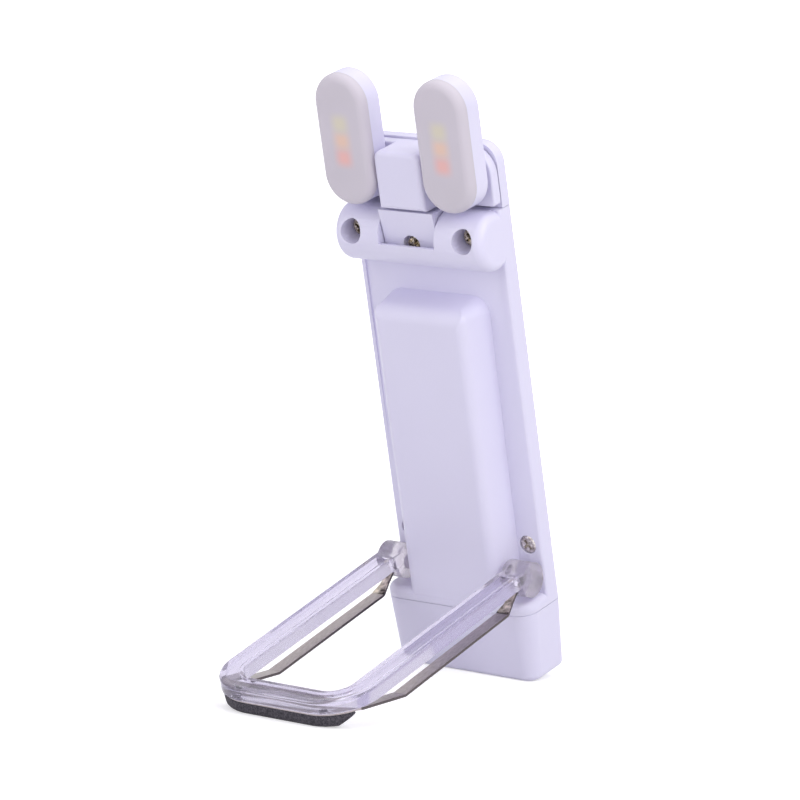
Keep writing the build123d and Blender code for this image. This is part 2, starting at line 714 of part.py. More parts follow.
# Lamps: housing, lit board, three chips and a frosted diffuser, and the screw behind the plate
lamps = {}
spigot_end = plate_t - plate_front - lamp_recess_depth + boss_gap
board_front = -lamp_back - lamp_floor - led_board_t
chip_names = ("led_warm", "led_amber", "led_cool")
for side_name, side in (("left", -1), ("right", 1)):
    centre = (side * lamp_x, lamp_mid_z)
    spread = lamp_length - 2 * lamp_r

    with BuildPart() as lamp_housing:
        with BuildSketch(facing(-lamp_back)):
            with Locations(centre):
                SlotCenterToCenter(spread, 2 * lamp_r, rotation=90)
        extrude(amount=housing_depth)
        with BuildSketch(facing(-lamp_back - lamp_floor)):
            with Locations(centre):
                SlotCenterToCenter(spread, 2 * (lamp_r - lamp_wall), rotation=90)
        extrude(amount=housing_depth, mode=Mode.SUBTRACT)
        with BuildSketch(facing(-plate_front - boss_gap)):
            with Locations((side * lamp_x, lamp_pivot_z)):
                Circle(boss_r)
        extrude(amount=lamp_back - plate_front - boss_gap)
        with BuildSketch(facing(spigot_end)):
            with Locations((side * lamp_x, lamp_pivot_z)):
                Circle(spigot_r)
        extrude(amount=lamp_back + spigot_end)
        with BuildSketch(facing(spigot_end)):
            with Locations((side * lamp_x, lamp_pivot_z)):
                Circle(low_screw_r)
        extrude(amount=lamp_back + spigot_end, mode=Mode.SUBTRACT)
    lamps[side_name + "_lamp_housing"] = lamp_housing

    with BuildPart() as lamp_screw:
        with BuildSketch(facing(spigot_end + lamp_screw_head_t)):
            with Locations((side * lamp_x, lamp_pivot_z)):
                Circle(lamp_screw_head_r)
        extrude(amount=lamp_screw_head_t)
        with BuildSketch(facing(spigot_end)):
            with Locations((side * lamp_x, lamp_pivot_z)):
                Circle(low_screw_r)
        extrude(amount=lamp_back)
        with BuildSketch(facing(spigot_end + lamp_screw_head_t)):
            with Locations((side * lamp_x, lamp_pivot_z)):
                cross_recess()
        extrude(amount=lamp_screw_head_t / 2, mode=Mode.SUBTRACT)
    lamps[side_name + "_lamp_screw"] = lamp_screw

    with BuildPart() as led_board:
        with BuildSketch(facing(-lamp_back - lamp_floor)):
            with Locations(centre):
                SlotCenterToCenter(spread, 2 * (lamp_r - lamp_wall - fit_gap), rotation=90)
        extrude(amount=led_board_t)
    lamps[side_name + "_led_board"] = led_board

    for step, chip_name in zip((-1, 0, 1), chip_names):
        with BuildPart() as led_chip:
            with BuildSketch(facing(board_front)):
                with Locations((side * lamp_x, lamp_mid_z + step * led_pitch)):
                    Rectangle(led_width, led_height)
            extrude(amount=led_t)
        lamps[side_name + "_" + chip_name] = led_chip

    with BuildPart() as diffuser:
        with BuildSketch(facing(-lamp_front)):
            with Locations(centre):
                SlotCenterToCenter(spread, 2 * lamp_r, rotation=90)
        extrude(amount=diffuser_depth)
        fillet(diffuser.faces().sort_by(Axis.Y)[0].edges(), diffuser_edge_r)
        with BuildSketch(facing(-lamp_front)):
            with Locations(centre):
                SlotCenterToCenter(spread, 2 * (lamp_r - lamp_wall), rotation=90)
        extrude(amount=diffuser_depth - lamp_wall, mode=Mode.SUBTRACT)
    lamps[side_name + "_diffuser"] = diffuser

for node, lamp_piece in lamps.items():
    lamp_piece.part.label = node

# Clip: drawn level, with the pivot at the origin and the arms going forward, then put in its place
with BuildPart() as clip_frame:
    with BuildSketch(Plane.XY) as loop_outline:
        with Locations((0, -clip_reach / 2)):
            Rectangle(clip_width, clip_reach)
        fillet(loop_outline.vertices().group_by(Axis.Y)[0], tip_corner_r)
    extrude(amount=arm_t)
    with BuildSketch(Plane.XY) as loop_opening:
        with Locations((0, (tip_bar - clip_reach) / 2)):
            Rectangle(2 * ear_x, clip_reach - tip_bar)
        fillet(loop_opening.vertices().group_by(Axis.Y)[0], inner_corner_r)
    extrude(amount=arm_t, mode=Mode.SUBTRACT)
    fillet(clip_frame.faces().sort_by(Axis.Z)[-1].edges().filter_by(
        lambda edge: edge.center().Y < -1), arm_edge_r)
    for side in (-1, 1):
        with BuildSketch(upright(side * clip_half)):
            Circle(ear_r)
        extrude(amount=-side * arm_width)
        with BuildSketch(upright(side * ear_x)):
            Circle(trunnion_r)
        extrude(amount=-side * trunnion_reach)
    # groove along the arms and the tip
    groove_x = clip_half - arm_width / 2
    groove_y = clip_reach - tip_bar / 2
    with BuildSketch(Plane.XY.offset(arm_t)):
        with BuildLine():
            FilletPolyline((-groove_x, -groove_start), (-groove_x, -groove_y),
                           (groove_x, -groove_y), (groove_x, -groove_start),
                           radius=tip_corner_r - tip_bar / 2)
        trace(line_width=groove_width)
    extrude(amount=-groove_depth, mode=Mode.SUBTRACT)
    # slots that hold the ends of the steel strip, and pegs that hold its plate
    with BuildSketch(Plane.XY.offset(-clip_pivot_proud)):
        with Locations((-strip_x, -strip_end_y), (strip_x, -strip_end_y)):
            Rectangle(strip_leg_width + 2 * fit_gap, strip_t + 2 * fit_gap)
    extrude(amount=clip_pivot_proud + strip_end_rise + fit_gap, mode=Mode.SUBTRACT)
    with BuildSketch(Plane.XY):
        with Locations((-peg_x, -groove_y), (peg_x, -groove_y)):
            Circle(peg_r)
    extrude(amount=-peg_length)
clip_frame.part.label = "clip_frame"

# Steel strip: a plate under the tip and a bent strip under each arm, in one pressing
with BuildSketch() as tip_inside:
    with Locations((0, (plate_margin - clip_reach) / 2)):
        Rectangle(clip_width - 2 * plate_margin, clip_reach - plate_margin)
    fillet(tip_inside.vertices().group_by(Axis.Y)[0], tip_corner_r - plate_margin)
with BuildPart() as clip_spring:
    with BuildSketch(Plane.XY):
        add(tip_inside.sketch_local)
        with Locations((0, -plate_y - tip_bar / 2)):
            Rectangle(2 * strip_x + strip_width, tip_bar, mode=Mode.INTERSECT)
        with Locations((-peg_x, -groove_y), (peg_x, -groove_y)):
            Circle(peg_r + snug, mode=Mode.SUBTRACT)
    extrude(amount=-strip_t)
    for side in (-1, 1):
        with BuildSketch(upright(side * strip_x - strip_width / 2)):
            with BuildLine():
                Polyline((-plate_y - strip_t, -strip_t / 2), (-plate_y, -strip_t / 2),
                         (-strip_bend_y, -strip_bend_drop), (-strip_heel_y, -strip_heel_drop),
                         (-strip_leg_y, -strip_leg_drop), (-strip_end_y, -strip_end_drop),
                         (-strip_end_y, strip_end_rise - strip_t / 2))
            trace(line_width=strip_t)
        extrude(amount=strip_width)
        # the strip narrows from the heel to its leg
        for edge_side in (-1, 1):
            with BuildSketch(Plane.XY.offset(-clip_pivot_proud)):
                with BuildLine():
                    wide = side * strip_x + edge_side * (strip_width / 2 + 0.1)
                    narrow = side * strip_x + edge_side * strip_leg_width / 2
                    Polyline((wide, -strip_heel_y), (narrow, -strip_leg_y + strip_t),
                             (narrow, 0), (wide, 0), close=True)
                make_face()
            extrude(amount=2 * clip_pivot_proud, mode=Mode.SUBTRACT)
    # the strips' ends follow the tip's outline
    with BuildSketch(Plane.XY.offset(-clip_pivot_proud)):
        with Locations((0, tip_corner_r / 2 - clip_reach)):
            Rectangle(clip_width, tip_corner_r)
        add(tip_inside.sketch_local, mode=Mode.SUBTRACT)
    extrude(amount=2 * clip_pivot_proud, mode=Mode.SUBTRACT)
clip_spring.part.label = "clip_spring"

# Pad under the tip: grips a cover when the clip is shut and is a foot when the light stands
with BuildPart() as grip_pad:
    pad_front = clip_reach - pad_inset
    with BuildSketch(Plane.XY.offset(-strip_t)) as pad_outline:
        with Locations((0, -pad_front / 2)):
            Rectangle(clip_width - 2 * pad_inset, pad_front)
        fillet(pad_outline.vertices().group_by(Axis.Y)[0], tip_corner_r - pad_inset)
        with Locations((0, pad_length / 2 - pad_front)):
            Rectangle(pad_width, pad_length, mode=Mode.INTERSECT)
    extrude(amount=-pad_t)
    # both ends slope in towards the table
    for side in (-1, 1):
        with BuildSketch(facing(0)):
            with BuildLine():
                Polyline((side * pad_width / 2, -strip_t), (side * pad_foot_width / 2, -strip_t - pad_t),
                         (side * pad_width / 2, -strip_t - pad_t), close=True)
            make_face()
        extrude(amount=pad_front, mode=Mode.SUBTRACT)
    fillet(grip_pad.faces().sort_by(Axis.Z)[0].edges(), pad_edge_r)
    with BuildSketch(Plane.XY):
        with Locations((-peg_x, -groove_y), (peg_x, -groove_y)):
            Circle(peg_r + fit_gap)
    extrude(amount=-peg_length - fit_gap, mode=Mode.SUBTRACT)
grip_pad.part.label = "grip_pad"

clip_place = Location((0, pivot_y, pivot_z), (clip_drop, 0, 0))
for piece in (clip_frame, clip_spring, grip_pad):
    piece.part.locate(clip_place)

# Standing: the light leans forward until the pad's front edge is on the table with the cap's.
# Both edges are rounded, so the lean comes from the centres of the two arcs.
draft = radians(cap_draft)
cap_arc_y = shrink - proud - cap_edge_r * tan(draft) + cap_edge_r / cos(draft)
pad_arc = clip_place * Location((0, pad_edge_r - pad_front, pad_edge_r - strip_t - pad_t))
reach = cap_arc_y - pad_arc.position.Y
rise = pad_arc.position.Z - cap_edge_r
lean = degrees(acos((pad_edge_r - cap_edge_r) / hypot(reach, rise)) - atan2(reach, rise))

fixed_pieces = {
    "front_shell": front_shell, "back_shell": back_shell, "end_cap": end_cap,
    "bar_screws": bar_screws, "shell_screws": shell_screws, "circuit_board": circuit_board,
    "board_chips": board_chips, "usb_socket": usb_socket, "battery_cell": battery_cell,
    "battery_tape": battery_tape, "battery_leads": battery_leads, "click_dome": click_dome,
    "charge_light": charge_light,
}
moving_pieces = {
    "power_button": power_button, "hinge_pin": hinge_pin, "neck": neck, "neck_screw": neck_screw,
    "friction_washers": friction_washers, "head_carrier": head_carrier,
    "clip_frame": clip_frame, "clip_spring": clip_spring, "grip_pad": grip_pad,
}
pieces = fixed_pieces | moving_pieces | lamps

# Put the whole light in its stance, with the origin on the table under the middle of its box
tilt = Location((0, 0, 0), (lean, 0, 0))
boxes = [piece.part.moved(tilt).bounding_box() for piece in pieces.values()]
low_y = min(box.min.Y for box in boxes)
high_y = max(box.max.Y for box in boxes)
low_z = min(box.min.Z for box in boxes)
stance = Location((0, -(low_y + high_y) / 2, -low_z)) * tilt

for node, piece in pieces.items():
    piece.part.locate(stance * piece.part.location)
    export_step(piece.part, f"parts/{node}.step")

# Places for the joints, mounts and openings, in the standing frame
print("lean", round(lean, 3))
places = {
    "origin_of_body": (0, 0, 0),
    "clip_pivot": (0, pivot_y, pivot_z),
    "head_pivot": (0, bar_y, bar_z),
    "lamp_pivot": (lamp_x, -plate_front, lamp_pivot_z),
    "button": (0, body_depth, button_z),
    "usb_mouth": (0, board_y - usb_t / 2, 0),
}
for name, place in places.items():
    point = (stance * Location(place)).position
    print(name, round(point.X, 3), round(point.Y, 3), round(point.Z, 3))
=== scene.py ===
import json
import math
import bpy
from mathutils import Matrix, Vector, noise


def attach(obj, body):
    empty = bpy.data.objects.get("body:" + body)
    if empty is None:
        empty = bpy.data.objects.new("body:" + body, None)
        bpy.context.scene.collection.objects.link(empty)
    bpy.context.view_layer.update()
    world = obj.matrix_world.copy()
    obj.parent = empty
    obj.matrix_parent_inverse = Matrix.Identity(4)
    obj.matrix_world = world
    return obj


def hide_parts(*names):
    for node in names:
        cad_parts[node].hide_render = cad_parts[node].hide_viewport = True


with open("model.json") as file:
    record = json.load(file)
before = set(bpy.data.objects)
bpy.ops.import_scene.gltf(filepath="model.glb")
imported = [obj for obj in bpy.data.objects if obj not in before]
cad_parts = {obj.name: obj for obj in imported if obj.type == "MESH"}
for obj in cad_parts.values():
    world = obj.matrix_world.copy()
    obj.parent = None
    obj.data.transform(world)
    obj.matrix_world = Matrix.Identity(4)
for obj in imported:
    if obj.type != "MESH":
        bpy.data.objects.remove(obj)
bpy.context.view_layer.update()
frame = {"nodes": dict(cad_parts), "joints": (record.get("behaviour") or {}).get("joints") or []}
nodes = frame["nodes"]

# White shells, end cap, head, neck, lamp housings and button.
# Injection-moulded ABS in a cool white, from a spark-eroded mould that leaves a fine satin grain;
# the shells are screwed together and the cap is pushed on.
MM = 0.001
WELD_MM = 0.002
ABS_EDGE_MM = 0.12
ABS_COLOUR = "E4E1F5"
ABS_SHADE = "DFDCF1"
ABS_ROUGHNESS = 0.42
# the tone drifts slightly over about 22 mm
ABS_DRIFT_PER_M = 45.0
# real grain is near 0.05 mm; it is drawn at 0.25 mm so that it can show
ABS_GRAIN_MM = 0.25


def linear(hex_colour):
    """An sRGB hex colour as the linear RGBA that the shader wants."""
    channels = [int(hex_colour[i:i + 2], 16) / 255 for i in (0, 2, 4)]
    return [c / 12.92 if c <= 0.04045 else ((c + 0.055) / 1.055) ** 2.4 for c in channels] + [1]


def add_node(owner, kind, settings=None, inputs=None):
    """Adds a node to a material, world or tree, with its settings, and its inputs as values or links."""
    tree = getattr(owner, "node_tree", owner)
    made = tree.nodes.new(kind)
    for name, value in (settings or {}).items():
        setattr(made, name, value)
    for key, value in (inputs or {}).items():
        if isinstance(value, bpy.types.NodeSocket):
            tree.links.new(value, made.inputs[key])
        else:
            made.inputs[key].default_value = value
    return made


def new_material(name):
    """A material with no nodes yet."""
    material = bpy.data.materials.new(name)
    material.use_nodes = True
    material.node_tree.nodes.clear()
    return material


def surface(material, inputs):
    """Finishes a material with a Principled surface that has these inputs."""
    shader = add_node(material, "ShaderNodeBsdfPrincipled", None, inputs)
    add_node(material, "ShaderNodeOutputMaterial", None, {"Surface": shader.outputs["BSDF"]})


def dress(node_name, material):
    """Gives a CAD node one material all over, shaded smooth."""
    piece = nodes[node_name]
    piece.data.materials.clear()
    piece.data.materials.append(material)
    piece.data.shade_smooth()
    return piece


def soften(piece, width_mm, angle_deg=38):
    """Rounds the sharp edges by a small radius, as a mould does, and keeps flat faces looking flat."""
    weld = piece.modifiers.new("weld", "WELD")
    weld.merge_threshold = WELD_MM * MM
    bevel = piece.modifiers.new("edge radius", "BEVEL")
    bevel.width = width_mm * MM
    bevel.segments = 2
    bevel.limit_method = "ANGLE"
    bevel.angle_limit = math.radians(angle_deg)
    bevel.harden_normals = True
    bevel.use_clamp_overlap = True
    flats = piece.modifiers.new("flats stay flat", "WEIGHTED_NORMAL")
    flats.mode = "FACE_AREA"
    flats.weight = 100
    flats.keep_sharp = True


abs_white = new_material("abs_moulded_white")
abs_where = add_node(abs_white, "ShaderNodeTexCoord").outputs["Object"]
abs_drift = add_node(abs_white, "ShaderNodeTexNoise", None,
                     {"Vector": abs_where, "Scale": ABS_DRIFT_PER_M, "Detail": 2.0, "Roughness": 0.5})
abs_tone = add_node(abs_white, "ShaderNodeMix", {"data_type": "RGBA"},
                    {"Factor": abs_drift.outputs["Fac"], "A": linear(ABS_COLOUR), "B": linear(ABS_SHADE)})
abs_grain = add_node(abs_white, "ShaderNodeTexNoise", None,
                     {"Vector": abs_where, "Scale": 1 / (ABS_GRAIN_MM * MM), "Detail": 2.0,
                      "Roughness": 0.6})
abs_bump = add_node(abs_white, "ShaderNodeBump", None,
                    {"Height": abs_grain.outputs["Fac"], "Strength": 0.10, "Distance": 0.02 * MM})
abs_rough = add_node(abs_white, "ShaderNodeMapRange", None,
                     {"Value": abs_drift.outputs["Fac"], "To Min": ABS_ROUGHNESS - 0.04,
                      "To Max": ABS_ROUGHNESS + 0.05})
surface(abs_white, {
    "Base Color": abs_tone.outputs["Result"],
    "Roughness": abs_rough.outputs["Result"],
    "IOR": 1.53,
    "Subsurface Weight": 0.12,
    "Subsurface Radius": (0.0012, 0.0011, 0.0013),
    "Subsurface Scale": 1.0,
    "Normal": abs_bump.outputs["Normal"],
})
for node_name in ("front_shell", "back_shell", "end_cap", "head_carrier", "neck", "power_button",
                  "left_lamp_housing", "right_lamp_housing"):
    soften(dress(node_name, abs_white), ABS_EDGE_MM)

# Diffusers: the milky covers over the chips.
# Frosted acrylic, greyer than the shells because light goes in. The chips show through it as soft
# warm and pale patches, which are coloured into the cover where each chip sits behind it.
SIDES = {"left": -1, "right": 1}
LAMP_X = 10.95
LAMP_MID_Z = 103.55
CHIP_PITCH = 3.15
GLOWS = (("F0BBB4", -1), ("ECCBB6", 0), ("DDD6C0", 1))
GLOW_CORE = 0.3
GLOW_HALF_WIDTH = 2.7
GLOW_HALF_HEIGHT = 2.6
GLOW_STRENGTH = 0.9
DIFFUSER_EDGE_MM = 0.08
# the milkiness drifts over about 8 mm; real frost is finer than the 0.2 mm that it is drawn at
MILKY_DRIFT_PER_MM = 0.12
FROST_MM = 0.2

# The light leans forward as it stands. Everything on it is laid out in the upright body's own
# millimetres and turned by this lean about the clip's pivot, which the frame gives.
PIVOT_IN_BODY = Vector((0, -3.9, 20.2)) * MM
joints = {joint["name"]: joint for joint in frame["joints"]}
swing_axis = Vector(joints["right_lamp_swing"]["axis"])
LEAN = math.atan2(swing_axis.z, swing_axis.y)
body_place = (Matrix.Translation(Vector(joints["clip_fold"]["pos_m"]))
              @ Matrix.Rotation(LEAN, 4, "X") @ Matrix.Translation(-PIVOT_IN_BODY))


def laid_out(material, place):
    """Object coordinates in millimetres, turned back to how a piece with this place is laid out."""
    where = add_node(material, "ShaderNodeTexCoord").outputs["Object"]
    back = place.inverted()
    turned = add_node(material, "ShaderNodeMapping", {"vector_type": "POINT"}, {
        "Vector": where,
        "Location": back.translation / MM,
        "Rotation": back.to_euler(),
        "Scale": (1 / MM, 1 / MM, 1 / MM),
    })
    return turned.outputs["Vector"]


def frosted_acrylic(name, lamp_x):
    """Frosted acrylic over a lamp at this x, with the glow of each chip behind it."""
    material = new_material(name)
    place = laid_out(material, body_place)
    parts = add_node(material, "ShaderNodeSeparateXYZ", None, {"Vector": place})
    clouds = add_node(material, "ShaderNodeTexNoise", None,
                      {"Vector": place, "Scale": MILKY_DRIFT_PER_MM, "Detail": 1.0, "Roughness": 0.5})
    tone = add_node(material, "ShaderNodeMix", {"data_type": "RGBA"},
                    {"Factor": clouds.outputs["Fac"], "A": linear("D6CFD8"), "B": linear("CEC8D0")})
    colour = tone.outputs["Result"]
    across = add_node(material, "ShaderNodeMath", {"operation": "SUBTRACT"},
                      {0: parts.outputs["X"], 1: lamp_x})
    off_axis = add_node(material, "ShaderNodeMath", {"operation": "ABSOLUTE"}, {0: across.outputs[0]})
    side_fade = add_node(material, "ShaderNodeMapRange", {"interpolation_type": "SMOOTHSTEP"},
                         {"Value": off_axis.outputs[0], "From Min": GLOW_CORE,
                          "From Max": GLOW_HALF_WIDTH, "To Min": 1.0, "To Max": 0.0})
    for glow_hex, step in GLOWS:
        along = add_node(material, "ShaderNodeMath", {"operation": "SUBTRACT"},
                         {0: parts.outputs["Z"], 1: LAMP_MID_Z + step * CHIP_PITCH})
        off_chip = add_node(material, "ShaderNodeMath", {"operation": "ABSOLUTE"}, {0: along.outputs[0]})
        end_fade = add_node(material, "ShaderNodeMapRange", {"interpolation_type": "SMOOTHSTEP"},
                            {"Value": off_chip.outputs[0], "From Min": GLOW_CORE,
                             "From Max": GLOW_HALF_HEIGHT, "To Min": GLOW_STRENGTH, "To Max": 0.0})
        fade = add_node(material, "ShaderNodeMath", {"operation": "MULTIPLY"},
                        {0: side_fade.outputs["Result"], 1: end_fade.outputs["Result"]})
        mixed = add_node(material, "ShaderNodeMix", {"data_type": "RGBA"},
                         {"Factor": fade.outputs[0], "A": colour, "B": linear(glow_hex)})
        colour = mixed.outputs["Result"]
    frost = add_node(material, "ShaderNodeTexNoise", None,
                     {"Vector": place, "Scale": 1 / FROST_MM, "Detail": 2.0, "Roughness": 0.6})
    bump = add_node(material, "ShaderNodeBump", None,
                    {"Height": frost.outputs["Fac"], "Strength": 0.06, "Distance": 0.02 * MM})
    surface(material, {
        "Base Color": colour,
        "Roughness": 0.5,
        "IOR": 1.49,
        "Subsurface Weight": 0.25,
        "Subsurface Radius": (0.0014, 0.0013, 0.0014),
        "Subsurface Scale": 1.0,
        "Normal": bump.outputs["Normal"],
    })
    return material


for side_name, side in SIDES.items():
    soften(dress(side_name + "_diffuser",
                 frosted_acrylic("acrylic_frosted_" + side_name, side * LAMP_X)), DIFFUSER_EDGE_MM)

# Boards and chips in the lamps, the main board and the battery.
# White-coated aluminium boards with phosphor-covered chips; a green glass-epoxy board; a foil pouch
# cell. All of them are shut inside the shells.


def plain_mottle(name, colour_hex, shade_hex, patches_per_m, inputs):
    """A part's own colour, lightly mottled, with so many patches per metre."""
    material = new_material(name)
    where = add_node(material, "ShaderNodeTexCoord").outputs["Object"]
    mottle = add_node(material, "ShaderNodeTexNoise", None,
                      {"Vector": where, "Scale": patches_per_m, "Detail": 3.0, "Roughness": 0.6})
    tone = add_node(material, "ShaderNodeMix", {"data_type": "RGBA"},
                    {"Factor": mottle.outputs["Fac"], "A": linear(colour_hex), "B": linear(shade_hex)})
    bump = add_node(material, "ShaderNodeBump", None,
                    {"Height": mottle.outputs["Fac"], "Strength": 0.15, "Distance": 0.02 * MM})
    surface(material, {"Base Color": tone.outputs["Result"], "Normal": bump.outputs["Normal"]} | inputs)
    return material


board_white = plain_mottle("board_white_coated_aluminium", "EDEDEA", "E2E2DF", 900, {"Roughness": 0.5})
solder_mask = plain_mottle("glass_epoxy_green_mask", "1F6B3C", "175A31", 700, {"Roughness": 0.35})
chip_black = plain_mottle("epoxy_chip_black", "1A1A1C", "242426", 1200, {"Roughness": 0.55})
cell_foil = plain_mottle("pouch_foil_aluminium", "C9CBCE", "B4B6BA", 300,
                         {"Metallic": 1.0, "Roughness": 0.38})
tape_foam = plain_mottle("foam_tape_white", "E7E5DD", "D2D0C8", 2500, {"Roughness": 0.9})
lead_red = plain_mottle("silicone_insulation_red", "B4231C", "9C1C16", 800, {"Roughness": 0.45})
dress("circuit_board", solder_mask)
dress("board_chips", chip_black)
dress("battery_cell", cell_foil)
dress("battery_tape", tape_foam)
dress("battery_leads", lead_red)
phosphors = {
    "_led_warm": plain_mottle("phosphor_salmon", "EDA892", "E39A84", 1500, {"Roughness": 0.6}),
    "_led_amber": plain_mottle("phosphor_amber", "F0B978", "E6AB68", 1500, {"Roughness": 0.6}),
    "_led_cool": plain_mottle("phosphor_pale_yellow", "E6E2A0", "DAD690", 1500, {"Roughness": 0.6}),
}
for side_name in SIDES:
    dress(side_name + "_led_board", board_white)
    for chip_name, phosphor in phosphors.items():
        dress(side_name + chip_name, phosphor)

# Metal inside: charging socket, click dome, hinge pin; and the nylon washers and the light pipe.
# Drawn and plated steel, moulded nylon and clear acrylic.
socket_steel = plain_mottle("steel_tin_plated", "BDBEC0", "A9AAAC", 900, {"Metallic": 1.0, "Roughness": 0.3})
pin_steel = plain_mottle("steel_ground_pin", "A8A8A8", "989898", 1500, {"Metallic": 1.0, "Roughness": 0.25})
nylon = plain_mottle("nylon_natural", "E9E6DA", "DEDBCE", 700, {"Roughness": 0.5})
light_pipe = plain_mottle("acrylic_light_pipe", "EDEEF2", "E4E5EA", 400,
                          {"Roughness": 0.15, "Transmission Weight": 0.6, "IOR": 1.49})
dress("usb_socket", socket_steel)
dress("click_dome", socket_steel)
dress("hinge_pin", pin_steel)
dress("friction_washers", nylon)
dress("charge_light", light_pipe)

# Screws: cross-head, cold-headed steel with a nickel plate, a little rough, with painted reflections as dark
# and bright flecks.
# Two deep in the hinge bar, two beside the clip's ears, one in the neck and one behind each lamp.
HEAD_SIDES = 28
SHANK_SIDES = 16
CROSS_TURN_SEED = 7
# the head's edge is rounded in two rings, each drawn in by this many half edge rounds
RING_STEPS = (0.6, 1.8)
SEAM_MM = 0.001


def nickel_painted_reflections(name, dark_hex, pale_hex, reflection_flecks_per_mm):
    """Plated steel with painted reflections: dark and bright flecks of colour stand in for the room that the
    rough plating mirrors.
    """
    material = new_material(name)
    where = add_node(material, "ShaderNodeTexCoord").outputs["Object"]
    reflection_flecks = add_node(material, "ShaderNodeTexNoise", None,
                      {"Vector": where, "Scale": reflection_flecks_per_mm / MM, "Detail": 3.0, "Roughness": 0.65})
    tone = add_node(material, "ShaderNodeValToRGB", None, {"Fac": reflection_flecks.outputs["Fac"]})
    tone.color_ramp.elements[0].position = 0.38
    tone.color_ramp.elements[0].color = linear(dark_hex)
    tone.color_ramp.elements[1].position = 0.62
    tone.color_ramp.elements[1].color = linear(pale_hex)
    bump = add_node(material, "ShaderNodeBump", None,
                    {"Height": reflection_flecks.outputs["Fac"], "Strength": 0.5, "Distance": 0.04 * MM})
    surface(material, {"Base Color": tone.outputs["Color"], "Metallic": 1.0, "Roughness": 0.3,
                       "Normal": bump.outputs["Normal"]})
    return material


# both screw finishes carry painted reflections: dark and bright flecks in their colour
pale_painted_reflection_nickel = nickel_painted_reflections("steel_screw_nickel_pale_painted_reflections", "9C928C", "F0EAE6", 1.8)
warm_painted_reflection_nickel = nickel_painted_reflections("steel_screw_nickel_warm_painted_reflections", "40362C", "E8DCC6", 2.8)


